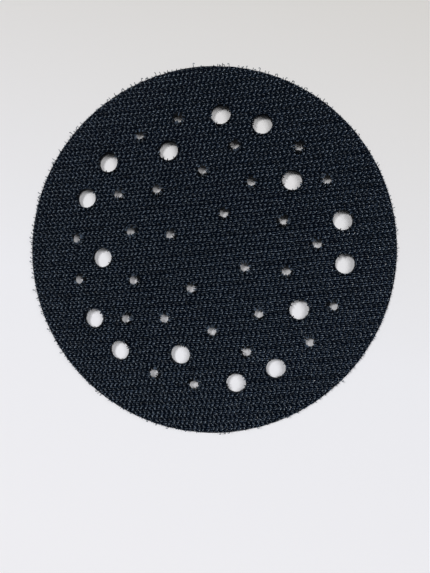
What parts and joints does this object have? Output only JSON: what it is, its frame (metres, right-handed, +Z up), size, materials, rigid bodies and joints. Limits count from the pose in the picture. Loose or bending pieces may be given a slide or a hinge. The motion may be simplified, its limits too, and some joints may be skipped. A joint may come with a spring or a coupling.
{
  "type": "sanding interface pad",
  "caption": "Thin round interface pad for an orbital sander: woven hook face, loop underside, and dust holes of two sizes right through.",
  "frame": {"origin": "centre of the loop underside, which lies on the bench", "axes": "+Z up through the hook face, +X along the woven rows of hooks, +Y across the rows"},
  "size_m": [0.127, 0.127, 0.0028],
  "materials": {
    "hook_cloth": "tightly woven blue-black nylon ground",
    "hook_yarn": "satin blue-black nylon monofilament",
    "loop_cloth": "brushed black nylon loops, dull"
  },
  "bodies": {
    "root": {"interface_pad": "hook_cloth"}
  },
  "joints": []
}
